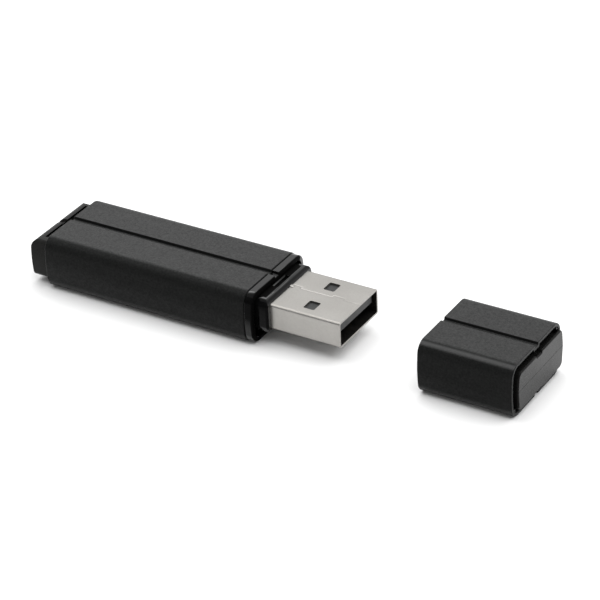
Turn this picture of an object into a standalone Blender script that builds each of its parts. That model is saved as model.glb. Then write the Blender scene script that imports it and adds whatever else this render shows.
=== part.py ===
"""USB flash drive with a pull-off cap, in metres, +Z up, resting on z = 0.

+X runs along the drive towards the plug. The cap lies in line with the drive, off its plug,
with its mouth facing the plug. Positions along X are counted from the seam where the sleeve
meets the glossy bezel, and the two parent empties move them so that the whole object is
centred on the origin.
"""
from math import ceil, pi, radians, sin, tan

import bmesh
import bpy
from mathutils import Matrix, Vector

MM = 0.001

# Cross-section shared by the sleeve and the cap: flat top and bottom, slightly bowed flanks.
SECTION_WIDTH = 16.8 * MM
SECTION_HEIGHT = 9.2 * MM
CORNER_RADIUS = 2.1 * MM
FLANK_BOW = 0.35 * MM
FLANK_RADIUS = 20 * MM
GROOVE_HALF = 0.57 * MM
GROOVE_DEPTH = 0.45 * MM
GROOVE_DRAFT = 0.12 * MM
GROOVE_ROUND = 0.12 * MM
ARC_STEP = radians(15)

# Lengths along X, from the seam.
SLEEVE_LENGTH = 38.2 * MM
SLEEVE_WALL = 0.55 * MM
TAIL_LENGTH = 3.52 * MM
TAIL_INSET = 0.97 * MM
TAIL_EDGE_ROUND = 0.4 * MM
TAIL_TOP_ROUND = 1.9 * MM
TAIL_SLIT = 1.3 * MM
TAIL_SLIT_DEPTH = 1.0 * MM
TAIL_SLIT_HALF = 5.9 * MM
GROOVE_EASE = 0.05 * MM
BEZEL_FRONT = 1.47 * MM
BEZEL_INSET = 0.1 * MM
BEZEL_WALL = 0.85 * MM
SPIGOT_LENGTH = 1.4 * MM
NOSE_FRONT = 3.65 * MM
PLUG_TIP = 16.15 * MM
CAP_MOUTH = 31.0 * MM
CAP_LENGTH = 16.1 * MM
CAP_END_BOSS = 0.5 * MM

# Standard-A plug.
PLUG_WIDTH = 12.0 * MM
PLUG_HEIGHT = 4.5 * MM
PLUG_LENGTH = 18.75 * MM
PLUG_WALL = 0.3 * MM
PLUG_CORNER = 0.45 * MM
PLUG_CENTRE_Z = 5.0 * MM
WINDOW_LENGTH = 1.98 * MM
WINDOW_WIDTH = 2.33 * MM
WINDOW_REAR = 8.57 * MM
WINDOW_SIDE = 3.1 * MM
TONGUE_THICKNESS = 1.9 * MM
TONGUE_SETBACK = 0.6 * MM
TONGUE_SIDE_GAP = 0.1 * MM
CONTACT_WIDTH = 1.0 * MM
CONTACT_THICKNESS = 0.22 * MM
CONTACT_TAIL = -5.2 * MM
LEG_LENGTH = 2.2 * MM
LEG_BELOW_BOARD = 0.4 * MM
LEG_ABOVE_BOARD = 0.6 * MM

# Name, place across the plug, and how far the contact stops behind the plug's tip.
CONTACTS = (
    ("contact_power", -3.5 * MM, 1.2 * MM),
    ("contact_data_minus", -1.0 * MM, 2.2 * MM),
    ("contact_data_plus", 1.0 * MM, 2.2 * MM),
    ("contact_ground", 3.5 * MM, 1.2 * MM),
)

# Nose: the moulded block that the plug comes out of.
NOSE_WIDTH = 13.9 * MM
NOSE_HEIGHT = 6.1 * MM
NOSE_CORNER = 1.3 * MM
NOSE_ROUND = 0.55 * MM
NOSE_SLOT_LENGTH = 0.75 * MM
NOSE_SLOT_WIDTH = 3.5 * MM
NOSE_SLOT_DEPTH = 0.35 * MM
NOSE_SLOT_X = 2.1 * MM
RELIEF_DEPTH = 0.4 * MM
RELIEF_EASE = 0.7 * MM
BEZEL_GROOVE_EASE = 0.6 * MM

# Circuit board and the shells that hold it.
BOARD_THICKNESS = 0.8 * MM
BOARD_WIDTH = 13.4 * MM
BOARD_FRONT = -3.2 * MM
BOARD_REAR = -35.8 * MM
CORE_WALL = 0.8 * MM
CORE_FRONT = -3.1 * MM
CORE_REAR = -36.95 * MM
POST_THICKNESS = 1.0 * MM
POST_REACH = 1.3 * MM
POST_ROOT = 0.35 * MM
POST_END_HEIGHT = 1.3 * MM
FRONT_POST_X = CORE_FRONT - 3.2 * MM
REAR_POST_X = CORE_REAR + 2.0 * MM
NOTCH_INSIDE = 0.45 * MM
NOTCH_OUTSIDE = 0.15 * MM
NOTCH_LENGTH = 2.4 * MM

# Chips: leads as a plate at part of the chip's height.
CHIP_ROUND = 0.15 * MM
LEAD_SETBACK = 0.6 * MM
LEAD_LOW = 0.3
LEAD_HIGH = 0.45

# Parts on the board: places along and across it, sizes along, across and up.
MEMORY_X = -24.0 * MM
MEMORY_SIZE = (18.4 * MM, 11.2 * MM, 1.1 * MM)
MEMORY_LEAD = 0.7 * MM
CONTROLLER_X = -10.0 * MM
CONTROLLER_SIZE = (6.0 * MM, 6.0 * MM, 1.3 * MM)
CONTROLLER_LEAD = 0.6 * MM
CRYSTAL_X = -12.0 * MM
CRYSTAL_SIZE = (5.0 * MM, 3.2 * MM, 1.1 * MM)
CRYSTAL_ROUND = 0.2 * MM
CAPACITOR_SIZE = (1.0 * MM, 1.6 * MM, 0.8 * MM)
CAPACITOR_PLACES = (
    (-8.0 * MM, -3.0 * MM),
    (-8.0 * MM, 3.0 * MM),
    (-17.0 * MM, -3.0 * MM),
    (-17.0 * MM, 3.0 * MM),
)
RESISTOR_SIZE = (1.6 * MM, 0.8 * MM, 0.5 * MM)
RESISTOR_X = -10.0 * MM
RESISTOR_SIDES = (-5.0 * MM, 5.0 * MM)

# Cap insert: two moulded halves round the plug's socket.
INSERT_FRONT = 2.9 * MM
SOCKET_WIDTH = 12.5 * MM
SOCKET_HEIGHT = 5.0 * MM
SOCKET_DEPTH = 14.7 * MM
END_GAP_DEPTH = 1.25 * MM
BOSS_SIDE_INSET = 1.3 * MM
BOSS_TOP_INSET = 1.55 * MM
BOSS_BOTTOM_INSET = 1.05 * MM
BOSS_CORNER = 1.0 * MM
BOSS_ROUND = 0.3 * MM
PLATE_ROUND = 0.2 * MM
BOSS_GROOVE_EASE = 0.45 * MM
BOSS_GROOVE_EXTRA = 0.1 * MM
PLATE_REACH = 1.2 * MM
WEB_SETBACK = 0.1 * MM
WEB_Y = 6.9 * MM
WEB_HEIGHT = 1.45 * MM

FIT_GAP = 0.06 * MM
HAIRLINE = 0.03 * MM
OVERLAP = 0.3 * MM

MID_Z = SECTION_HEIGHT / 2
PLUG_TOP = PLUG_CENTRE_Z + PLUG_HEIGHT / 2
PLUG_BOTTOM = PLUG_CENTRE_Z - PLUG_HEIGHT / 2
PLUG_REAR = PLUG_TIP - PLUG_LENGTH
INSULATOR_REAR = PLUG_REAR + 0.2 * MM
REAR_BLOCK_FRONT = NOSE_FRONT + 0.8 * MM
TONGUE_TOP = PLUG_TOP - PLUG_WALL - HAIRLINE
TONGUE_BOTTOM = TONGUE_TOP - TONGUE_THICKNESS
CONTACT_TOP = TONGUE_BOTTOM - HAIRLINE
BOARD_TOP = CONTACT_TOP - CONTACT_THICKNESS - HAIRLINE
BOARD_BOTTOM = BOARD_TOP - BOARD_THICKNESS
BOARD_MID = (BOARD_TOP + BOARD_BOTTOM) / 2
DRIVE_REAR = -(SLEEVE_LENGTH + TAIL_LENGTH)
CAP_FRONT = CAP_MOUTH + CAP_LENGTH + CAP_END_BOSS
SEAM_X = -(DRIVE_REAR + CAP_FRONT) / 2

# The curve's drawing plane becomes YZ and its extrusion runs along X.
ALONG_X = Matrix(((0, 0, 1), (1, 0, 0), (0, 1, 0))).to_4x4()

MATERIALS = {
    "anodised": ((0.030, 0.030, 0.032), 0.45, 0.6),
    "satin_black": ((0.035, 0.035, 0.036), 0.40, 0.0),
    "gloss_black": ((0.015, 0.015, 0.016), 0.12, 0.0),
    "core_plastic": ((0.060, 0.060, 0.062), 0.55, 0.0),
    "steel": ((0.62, 0.60, 0.57), 0.25, 1.0),
    "insulator": ((0.020, 0.020, 0.022), 0.50, 0.0),
    "gold": ((0.85, 0.62, 0.25), 0.25, 1.0),
    "board": ((0.020, 0.110, 0.050), 0.45, 0.0),
    "chip": ((0.025, 0.025, 0.027), 0.60, 0.0),
    "ceramic": ((0.42, 0.32, 0.22), 0.55, 0.0),
}


def rounded_outline(corners):
    """Points of a closed outline that runs anticlockwise. A corner is (y, z, radius of its arc)."""
    points = []
    for index, (y, z, radius) in enumerate(corners):
        here = Vector((y, z))
        before = (Vector(corners[index - 1][:2]) - here).normalized()
        after = (Vector(corners[(index + 1) % len(corners)][:2]) - here).normalized()
        half_angle = before.angle(after) / 2
        turn = pi - 2 * half_angle
        centre = here + (before + after).normalized() * radius / sin(half_angle)
        arm = before * radius / tan(half_angle) + here - centre
        steps = max(2, ceil(turn / ARC_STEP))
        direction = 1 if before.cross(after) < 0 else -1
        for step in range(steps + 1):
            points.append(centre + Matrix.Rotation(direction * turn * step / steps, 2) @ arm)
    return points


def upper_half(side_inset, top_inset, corner, groove_half, groove_depth):
    """Corners of the cross-section from the middle of its left flank, over the top, to its right shoulder."""
    side = SECTION_WIDTH / 2 - side_inset
    top = SECTION_HEIGHT - top_inset
    floor = top - groove_depth
    return [
        (side, MID_Z, FLANK_RADIUS),
        (side - FLANK_BOW, top, corner),
        (groove_half, top, GROOVE_ROUND),
        (groove_half - GROOVE_DRAFT, floor, GROOVE_ROUND),
        (GROOVE_DRAFT - groove_half, floor, GROOVE_ROUND),
        (-groove_half, top, GROOVE_ROUND),
        (FLANK_BOW - side, top, corner),
    ]


def turned(half):
    """The same corners turned half a turn about the drive's axis."""
    return [(-y, SECTION_HEIGHT - z, radius) for y, z, radius in half]


def section(inset, groove_half=GROOVE_HALF, groove_depth=GROOVE_DEPTH):
    """Corners of the drive's cross-section moved inwards by inset, with a groove above and below."""
    half = upper_half(inset, inset, CORNER_RADIUS - inset, groove_half, groove_depth)
    return half + turned(half)


def wall_section(inset):
    """The section as a wall of even thickness has it: its ridge behind the groove is wider by the wall."""
    return section(inset, GROOVE_HALF + 0.8 * inset)


def rectangle(width, height, centre_z, radius):
    side, low, high = width / 2, centre_z - height / 2, centre_z + height / 2
    return [(side, low, radius), (side, high, radius), (-side, high, radius), (-side, low, radius)]


def make_material(name):
    colour, roughness, metallic = MATERIALS[name]
    material = bpy.data.materials.new(name)
    material.use_nodes = True
    shader = material.node_tree.nodes["Principled BSDF"]
    shader.inputs["Base Color"].default_value = (*colour, 1)
    shader.inputs["Roughness"].default_value = roughness
    shader.inputs["Metallic"].default_value = metallic
    material.diffuse_color = (*colour, 1)
    return material


def place(name, mesh, location, parent, finish):
    """An object under parent: a visible part with its own material, or a hidden helper if finish is None."""
    obj = bpy.data.objects.new(name, mesh)
    obj.location = location
    obj.parent = parent
    if finish is None:
        helpers.objects.link(obj)
        obj.hide_render = True
        obj.display_type = "WIRE"
    else:
        parts.objects.link(obj)
        mesh.materials.append(make_material(finish))
    return obj


def prism(name, outlines, start, end, parent, finish=None, edge_round=0):
    """Outlines in YZ, the second one a hole in the first, filled and extruded along X from start to end.

    They are drawn a thousand times larger, because a curve's fill merges points nearer than 0.03 mm.
    """
    curve = bpy.data.curves.new(name, "CURVE")
    curve.dimensions = "2D"
    curve.fill_mode = "BOTH"
    curve.extrude = (end - start) / 2 / MM
    for corners in outlines:
        points = rounded_outline(corners)
        spline = curve.splines.new("POLY")
        spline.points.add(len(points) - 1)
        for spline_point, (y, z) in zip(spline.points, points):
            spline_point.co = (y / MM, z / MM, 0, 1)
        spline.use_cyclic_u = True
    source = bpy.data.objects.new(name, curve)
    bpy.context.scene.collection.objects.link(source)
    graph = bpy.context.evaluated_depsgraph_get()
    mesh = bpy.data.meshes.new_from_object(source.evaluated_get(graph))
    bpy.data.objects.remove(source)
    mesh.transform(ALONG_X @ Matrix.Scale(MM, 4))
    weld(mesh)
    obj = place(name, mesh, ((start + end) / 2, 0, 0), parent, finish)
    if edge_round:
        round_edges(obj, edge_round)
    return obj


def weld(mesh):
    """Joins the loose caps of a filled curve to its sides."""
    shape = bmesh.new()
    shape.from_mesh(mesh)
    bmesh.ops.remove_doubles(shape, verts=shape.verts, dist=0.0001 * MM)
    bmesh.ops.recalc_face_normals(shape, faces=shape.faces)
    shape.to_mesh(mesh)
    shape.free()
    mesh.shade_smooth()
    mesh.set_sharp_from_angle(angle=radians(40))


def block(name, low, high, parent, finish=None, edge_round=0):
    """A box between two opposite corners."""
    size = Vector(high) - Vector(low)
    shape = bmesh.new()
    bmesh.ops.create_cube(shape, size=1)
    bmesh.ops.scale(shape, vec=size, verts=shape.verts)
    mesh = bpy.data.meshes.new(name)
    shape.to_mesh(mesh)
    shape.free()
    obj = place(name, mesh, (Vector(low) + Vector(high)) / 2, parent, finish)
    if edge_round:
        round_edges(obj, edge_round)
    return obj


def round_edges(obj, width):
    bevel = obj.modifiers.new("rounded_edges", "BEVEL")
    bevel.width = width
    bevel.segments = 3
    bevel.limit_method = "ANGLE"
    bevel.angle_limit = radians(50)


def combine(target, tool, operation, solver="EXACT"):
    boolean = target.modifiers.new(f"{operation.lower()}_{tool.name}", "BOOLEAN")
    boolean.operation = operation
    boolean.solver = solver
    boolean.object = tool


def cut(target, tool, solver="EXACT"):
    combine(target, tool, "DIFFERENCE", solver)


def join(target, tool):
    combine(target, tool, "UNION")


def make_sleeve(name, start, end, parent):
    return prism(name, [section(0), wall_section(SLEEVE_WALL)], start, end, parent, "anodised")


def make_tail_profile():
    """Side view of the tail as a bar along Y: its upper rear edge is well rounded."""
    top = SECTION_HEIGHT - TAIL_INSET + HAIRLINE / 3
    corners = [
        (DRIVE_REAR, -OVERLAP, HAIRLINE),
        (0, -OVERLAP, HAIRLINE),
        (0, top, HAIRLINE),
        (DRIVE_REAR, top, TAIL_TOP_ROUND),
    ]
    bar = prism("tail_profile", [corners], -SECTION_WIDTH / 2, SECTION_WIDTH / 2, drive)
    bar.data.transform(Matrix.Rotation(radians(-90), 4, "Z"))
    return bar


def make_tail_plug():
    """Closes the sleeve's rear: a rounded end with a slit above and below, on a boss that fits the sleeve."""
    outer = section(TAIL_INSET, GROOVE_HALF + GROOVE_EASE)
    inner_end = CORE_REAR - FIT_GAP
    front = inner_end - OVERLAP
    tail = prism("tail_plug", [outer], DRIVE_REAR, front, drive, "satin_black", TAIL_EDGE_ROUND)
    combine(tail, make_tail_profile(), "INTERSECT")
    boss_outline_inside = wall_section(SLEEVE_WALL + FIT_GAP)
    join(tail, prism("tail_boss", [boss_outline_inside], -SLEEVE_LENGTH + OVERLAP, inner_end, drive))
    slit_depth = TAIL_INSET + TAIL_SLIT_DEPTH
    ridge_half = GROOVE_HALF + SLEEVE_WALL
    ridge_depth = SLEEVE_WALL + GROOVE_DEPTH + FIT_GAP
    for level, outside in (("upper", SECTION_HEIGHT + OVERLAP), ("lower", -OVERLAP)):
        inwards = -1 if level == "upper" else 1
        slit_low, slit_high = sorted((outside, outside + inwards * (slit_depth + OVERLAP)))
        slit = block(
            f"tail_slit_{level}",
            (-SLEEVE_LENGTH - TAIL_SLIT, -TAIL_SLIT_HALF, slit_low),
            (-SLEEVE_LENGTH, TAIL_SLIT_HALF, slit_high),
            drive,
        )
        cut(tail, slit)
        ridge_low, ridge_high = sorted((outside, outside + inwards * (ridge_depth + OVERLAP)))
        ridge = block(
            f"tail_ridge_clearance_{level}",
            (-SLEEVE_LENGTH - TAIL_SLIT / 2, -ridge_half, ridge_low),
            (inner_end + OVERLAP, ridge_half, ridge_high),
            drive,
        )
        cut(tail, ridge)


def make_bezel():
    """Glossy ring in front of the sleeve, stepped down behind it to a spigot that fits inside the sleeve."""
    outer = section(BEZEL_INSET, GROOVE_HALF + GROOVE_EASE)
    inner = section(BEZEL_INSET + BEZEL_WALL, GROOVE_HALF + BEZEL_GROOVE_EASE)
    ring = prism("front_bezel", [outer, inner], -SPIGOT_LENGTH, BEZEL_FRONT, drive, "gloss_black")
    step = [section(-OVERLAP), wall_section(SLEEVE_WALL + FIT_GAP)]
    cut(ring, prism("bezel_step", step, -SPIGOT_LENGTH - OVERLAP, HAIRLINE, drive), "MANIFOLD")


def make_nose():
    """Block round the plug, on a flange inside the sleeve, with a slot in its top."""
    flange_rear = CORE_FRONT + FIT_GAP
    body = rectangle(NOSE_WIDTH, NOSE_HEIGHT, PLUG_CENTRE_Z, NOSE_CORNER)
    nose = prism("nose_block", [body], flange_rear + OVERLAP, NOSE_FRONT, drive, "gloss_black", NOSE_ROUND)
    flange_front = -SPIGOT_LENGTH - FIT_GAP
    flange = prism("nose_flange", [wall_section(SLEEVE_WALL + FIT_GAP)], flange_rear, flange_front, drive)
    join(nose, flange)
    tunnel_outline = rectangle(
        PLUG_WIDTH + 2 * HAIRLINE, PLUG_HEIGHT + 2 * HAIRLINE, PLUG_CENTRE_Z, PLUG_CORNER + HAIRLINE
    )
    cut(nose, prism("nose_tunnel", [tunnel_outline], flange_rear - OVERLAP, NOSE_FRONT + OVERLAP, drive))
    nose_top = PLUG_CENTRE_Z + NOSE_HEIGHT / 2
    slot = block(
        "nose_slot",
        (NOSE_SLOT_X - NOSE_SLOT_LENGTH / 2, -NOSE_SLOT_WIDTH / 2, nose_top - NOSE_SLOT_DEPTH),
        (NOSE_SLOT_X + NOSE_SLOT_LENGTH / 2, NOSE_SLOT_WIDTH / 2, nose_top + OVERLAP),
        drive,
    )
    cut(nose, slot)
    relief_half = GROOVE_HALF + RELIEF_EASE
    relief = block(
        "bezel_notch_relief",
        (-SPIGOT_LENGTH - FIT_GAP, -relief_half, nose_top - RELIEF_DEPTH),
        (BEZEL_FRONT + FIT_GAP, relief_half, nose_top + OVERLAP),
        drive,
    )
    cut(nose, relief)


def make_core_half(name, keep_low, keep_high):
    """Half of the shell round the circuit board, with four posts that hold the board's edge."""
    outer = wall_section(SLEEVE_WALL + FIT_GAP)
    inner = wall_section(SLEEVE_WALL + FIT_GAP + CORE_WALL)
    half = prism(name, [outer, inner], CORE_REAR, CORE_FRONT, drive, "core_plastic")
    upper = keep_low > 0
    waste_low = -OVERLAP if upper else keep_high
    waste_high = keep_low if upper else SECTION_HEIGHT + OVERLAP
    waste = block(
        f"{name}_waste",
        (CORE_REAR - OVERLAP, -SECTION_WIDTH, waste_low),
        (CORE_FRONT + OVERLAP, SECTION_WIDTH, waste_high),
        drive,
    )
    cut(half, waste)
    wall_inside = SECTION_WIDTH / 2 - SLEEVE_WALL - FIT_GAP - CORE_WALL
    post_low = BOARD_TOP + HAIRLINE if upper else POST_END_HEIGHT
    post_high = SECTION_HEIGHT - POST_END_HEIGHT if upper else BOARD_BOTTOM - HAIRLINE
    for end, x in (("front", FRONT_POST_X), ("rear", REAR_POST_X)):
        for side in (-1, 1):
            near, far = sorted((side * (wall_inside - POST_REACH), side * (wall_inside + POST_ROOT)))
            post = block(
                f"{name}_post_{end}_{'left' if side > 0 else 'right'}",
                (x - POST_THICKNESS / 2, near, post_low),
                (x + POST_THICKNESS / 2, far, post_high),
                drive,
            )
            join(half, post)


def make_plug_shell():
    """Folded steel shell with two windows above and two below, and a leg on each side for the board."""
    outer = rectangle(PLUG_WIDTH, PLUG_HEIGHT, PLUG_CENTRE_Z, PLUG_CORNER)
    inner = rectangle(
        PLUG_WIDTH - 2 * PLUG_WALL, PLUG_HEIGHT - 2 * PLUG_WALL, PLUG_CENTRE_Z, PLUG_CORNER - PLUG_WALL
    )
    shell = prism("plug_shell", [outer, inner], PLUG_REAR, PLUG_TIP, drive, "steel")
    for side, y in (("right", -WINDOW_SIDE), ("left", WINDOW_SIDE)):
        window = block(
            f"plug_window_{side}",
            (WINDOW_REAR, y - WINDOW_WIDTH / 2, PLUG_TOP - PLUG_WALL - OVERLAP),
            (WINDOW_REAR + WINDOW_LENGTH, y + WINDOW_WIDTH / 2, PLUG_TOP + OVERLAP),
            drive,
        )
        lower_window = block(
            f"plug_lower_window_{side}",
            (WINDOW_REAR, y - WINDOW_WIDTH / 2, PLUG_BOTTOM - OVERLAP),
            (WINDOW_REAR + WINDOW_LENGTH, y + WINDOW_WIDTH / 2, PLUG_BOTTOM + PLUG_WALL + OVERLAP),
            drive,
        )
        cut(shell, window)
        cut(shell, lower_window)
    for side in (-1, 1):
        near, far = sorted((side * (PLUG_WIDTH / 2 - PLUG_WALL), side * PLUG_WIDTH / 2))
        leg = block(
            f"plug_leg_{'left' if side > 0 else 'right'}",
            (PLUG_REAR - LEG_LENGTH, near, BOARD_BOTTOM - LEG_BELOW_BOARD),
            (PLUG_REAR + OVERLAP, far, BOARD_TOP + LEG_ABOVE_BOARD),
            drive,
        )
        join(shell, leg)


def make_insulator():
    """Tongue that carries the contacts, on a rear block that fills the shell."""
    half = PLUG_WIDTH / 2 - PLUG_WALL - TONGUE_SIDE_GAP
    insulator = block(
        "plug_insulator",
        (INSULATOR_REAR, -half, TONGUE_BOTTOM),
        (PLUG_TIP - TONGUE_SETBACK, half, TONGUE_TOP),
        drive,
        "insulator",
    )
    rear_block = block(
        "insulator_rear_block",
        (INSULATOR_REAR, -half, PLUG_BOTTOM + PLUG_WALL + HAIRLINE),
        (REAR_BLOCK_FRONT, half, TONGUE_TOP),
        drive,
    )
    join(insulator, rear_block)
    reach = CONTACT_WIDTH / 2 + HAIRLINE
    for name, y, _ in CONTACTS:
        channel = block(
            f"{name}_channel",
            (PLUG_REAR - OVERLAP, y - reach, CONTACT_TOP - CONTACT_THICKNESS - HAIRLINE),
            (REAR_BLOCK_FRONT + OVERLAP, y + reach, CONTACT_TOP + HAIRLINE / 2),
            drive,
        )
        cut(insulator, channel)


def make_contacts():
    for name, y, setback in CONTACTS:
        low = (CONTACT_TAIL, y - CONTACT_WIDTH / 2, CONTACT_TOP - CONTACT_THICKNESS)
        high = (PLUG_TIP - setback, y + CONTACT_WIDTH / 2, CONTACT_TOP)
        block(name, low, high, drive, "gold")


def make_board():
    board = block(
        "circuit_board",
        (BOARD_REAR, -BOARD_WIDTH / 2, BOARD_BOTTOM),
        (BOARD_FRONT, BOARD_WIDTH / 2, BOARD_TOP),
        drive,
        "board",
    )
    for side in (-1, 1):
        near, far = sorted((side * (PLUG_WIDTH / 2 - NOTCH_INSIDE), side * (PLUG_WIDTH / 2 + NOTCH_OUTSIDE)))
        notch = block(
            f"board_notch_{'left' if side > 0 else 'right'}",
            (PLUG_REAR - NOTCH_LENGTH, near, BOARD_BOTTOM - OVERLAP),
            (BOARD_FRONT + OVERLAP, far, BOARD_TOP + OVERLAP),
            drive,
        )
        cut(board, notch)


def make_component(name, x, y, size, finish, below=False, edge_round=0):
    """A part soldered to the board, centred at x, y, on its top or its underside."""
    length, width, height = size
    low_z = BOARD_BOTTOM - HAIRLINE - height if below else BOARD_TOP + HAIRLINE
    low = (x - length / 2, y - width / 2, low_z)
    high = (x + length / 2, y + width / 2, low_z + height)
    return block(name, low, high, drive, finish, edge_round)


def make_leaded_chip(name, x, size, lead_length, lead_axis):
    """A chip whose leads show as a thin plate that stands out of its body on two or four sides."""
    length, width, height = size
    chip = make_component(name, x, 0, size, "chip", edge_round=CHIP_ROUND)
    half_length = length / 2 + (lead_length if "x" in lead_axis else -LEAD_SETBACK)
    half_width = width / 2 + (lead_length if "y" in lead_axis else -LEAD_SETBACK)
    chip_bottom = BOARD_TOP + HAIRLINE
    leads = block(
        f"{name}_leads",
        (x - half_length, -half_width, chip_bottom + LEAD_LOW * height),
        (x + half_length, half_width, chip_bottom + LEAD_HIGH * height),
        drive,
    )
    join(chip, leads)


def make_electronics():
    make_board()
    make_leaded_chip("flash_memory_chip", MEMORY_X, MEMORY_SIZE, MEMORY_LEAD, "x")
    make_leaded_chip("controller_chip", CONTROLLER_X, CONTROLLER_SIZE, CONTROLLER_LEAD, "xy")
    make_component("crystal", CRYSTAL_X, 0, CRYSTAL_SIZE, "steel", True, CRYSTAL_ROUND)
    for number, (x, y) in enumerate(CAPACITOR_PLACES, 1):
        make_component(f"capacitor_{number}", x, y, CAPACITOR_SIZE, "ceramic", True)
    for number, y in enumerate(RESISTOR_SIDES, 1):
        make_component(f"resistor_{number}", RESISTOR_X, y, RESISTOR_SIZE, "chip")


def boss_outline():
    """The boss at the cap's closed end: it stands clear of the sleeve, further above than at the sides."""
    groove_half = GROOVE_HALF + BOSS_GROOVE_EASE
    groove_depth = GROOVE_DEPTH + BOSS_GROOVE_EXTRA
    upper = upper_half(BOSS_SIDE_INSET, BOSS_TOP_INSET, BOSS_CORNER, groove_half, groove_depth)
    lower = upper_half(BOSS_SIDE_INSET, BOSS_BOTTOM_INSET, BOSS_CORNER, groove_half, groove_depth)
    return upper + turned(lower)


def plate_outline():
    """The boss's outer face, which reaches over the sleeve's rim on the +Y side."""
    far_side = SECTION_WIDTH / 4
    return [(y + PLATE_REACH if y > far_side else y, z, radius) for y, z, radius in boss_outline()]


def make_web(name, start, upper):
    """Bridges the gap round the boss in one corner: the far upper one or the near lower one."""
    side = 1 if upper else -1
    web = prism(
        f"{name}_web",
        [wall_section(SLEEVE_WALL + FIT_GAP + HAIRLINE)],
        start,
        CAP_LENGTH - WEB_SETBACK,
        cap,
    )
    y_near, y_far = sorted((side * WEB_Y, side * SECTION_WIDTH))
    z_inner = SECTION_HEIGHT - WEB_HEIGHT if upper else WEB_HEIGHT
    z_low, z_high = sorted((z_inner, SECTION_HEIGHT + OVERLAP if upper else -OVERLAP))
    corner = block(
        f"{name}_corner",
        (start - OVERLAP, y_near, z_low),
        (CAP_LENGTH + OVERLAP, y_far, z_high),
        cap,
    )
    combine(web, corner, "INTERSECT")
    return web


def make_cap_insert_half(name, upper):
    """Half of the block inside the cap: the plug's socket, and the boss that shows at the closed end."""
    rear_face = CAP_LENGTH - END_GAP_DEPTH
    outer = wall_section(SLEEVE_WALL + FIT_GAP)
    half = prism(name, [outer], INSERT_FRONT, rear_face, cap, "satin_black")
    boss_end = CAP_LENGTH + CAP_END_BOSS
    plate_start = CAP_LENGTH + HAIRLINE
    boss_start = rear_face - 2 * OVERLAP
    join(half, prism(f"{name}_boss", [boss_outline()], boss_start, plate_start + BOSS_ROUND / 2, cap))
    join(half, prism(f"{name}_plate", [plate_outline()], plate_start, boss_end, cap, edge_round=PLATE_ROUND))
    join(half, make_web(name, rear_face - OVERLAP, upper))
    socket_outline = rectangle(SOCKET_WIDTH, SOCKET_HEIGHT, PLUG_CENTRE_Z, PLUG_CORNER)
    cut(half, prism(f"{name}_socket", [socket_outline], INSERT_FRONT - OVERLAP, SOCKET_DEPTH, cap))
    waste_low = -OVERLAP if upper else MID_Z - HAIRLINE / 2
    waste_high = MID_Z + HAIRLINE / 2 if upper else SECTION_HEIGHT + OVERLAP
    waste = block(
        f"{name}_waste",
        (INSERT_FRONT - OVERLAP, -SECTION_WIDTH, waste_low),
        (boss_end + OVERLAP, SECTION_WIDTH, waste_high),
        cap,
    )
    cut(half, waste)


def new_collection(name):
    collection = bpy.data.collections.new(name)
    bpy.context.scene.collection.children.link(collection)
    return collection


def new_frame(name, x):
    """A parent empty on the drive's long axis."""
    empty = bpy.data.objects.new(name, None)
    empty.location.x = x
    parts.objects.link(empty)
    return empty


for old in list(bpy.data.objects):
    bpy.data.objects.remove(old)
parts = new_collection("usb_flash_drive")
helpers = new_collection("cutters")
drive = new_frame("drive_frame", SEAM_X)
cap = new_frame("cap_frame", SEAM_X + CAP_MOUTH)

make_sleeve("body_sleeve", -SLEEVE_LENGTH, 0, drive)
make_tail_plug()
make_bezel()
make_nose()
make_core_half("core_lower_shell", 0, BOARD_MID - HAIRLINE / 2)
make_core_half("core_upper_shell", BOARD_MID + HAIRLINE / 2, SECTION_HEIGHT)
make_plug_shell()
make_insulator()
make_contacts()
make_electronics()
make_sleeve("cap_sleeve", 0, CAP_LENGTH, cap)
make_cap_insert_half("cap_insert_upper", True)
make_cap_insert_half("cap_insert_lower", False)
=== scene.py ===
"""Looks of the USB flash drive: fine meshes, procedural materials, studio light and camera.

Shapes are drawn in millimetres. X is counted from the seam between the sleeve and the glossy
ring for pieces of the drive, and from the cap's mouth for pieces of the cap. Every place is
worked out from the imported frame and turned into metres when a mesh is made.
"""
from math import cos, pi, radians, sin, tan

import bmesh
import bpy
from mathutils import Matrix, Vector


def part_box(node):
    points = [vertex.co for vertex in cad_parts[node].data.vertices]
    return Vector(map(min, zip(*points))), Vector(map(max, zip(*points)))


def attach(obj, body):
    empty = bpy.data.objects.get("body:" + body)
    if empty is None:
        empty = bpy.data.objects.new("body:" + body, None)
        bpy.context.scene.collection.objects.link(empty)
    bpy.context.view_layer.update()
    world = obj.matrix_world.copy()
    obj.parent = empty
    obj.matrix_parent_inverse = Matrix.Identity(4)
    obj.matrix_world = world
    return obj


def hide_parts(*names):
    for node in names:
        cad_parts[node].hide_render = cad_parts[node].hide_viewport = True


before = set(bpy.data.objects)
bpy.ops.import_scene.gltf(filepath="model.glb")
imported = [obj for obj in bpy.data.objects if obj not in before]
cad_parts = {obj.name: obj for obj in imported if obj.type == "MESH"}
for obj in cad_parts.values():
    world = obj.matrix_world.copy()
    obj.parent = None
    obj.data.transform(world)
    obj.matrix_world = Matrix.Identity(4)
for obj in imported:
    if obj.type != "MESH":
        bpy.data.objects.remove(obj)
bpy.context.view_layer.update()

MM = 0.001


def edge(node, end, axis):
    """One side of a CAD node's box, in millimetres: end 0 is the low side and 1 the high side."""
    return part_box(node)[end]["xyz".index(axis)] / MM


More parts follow.
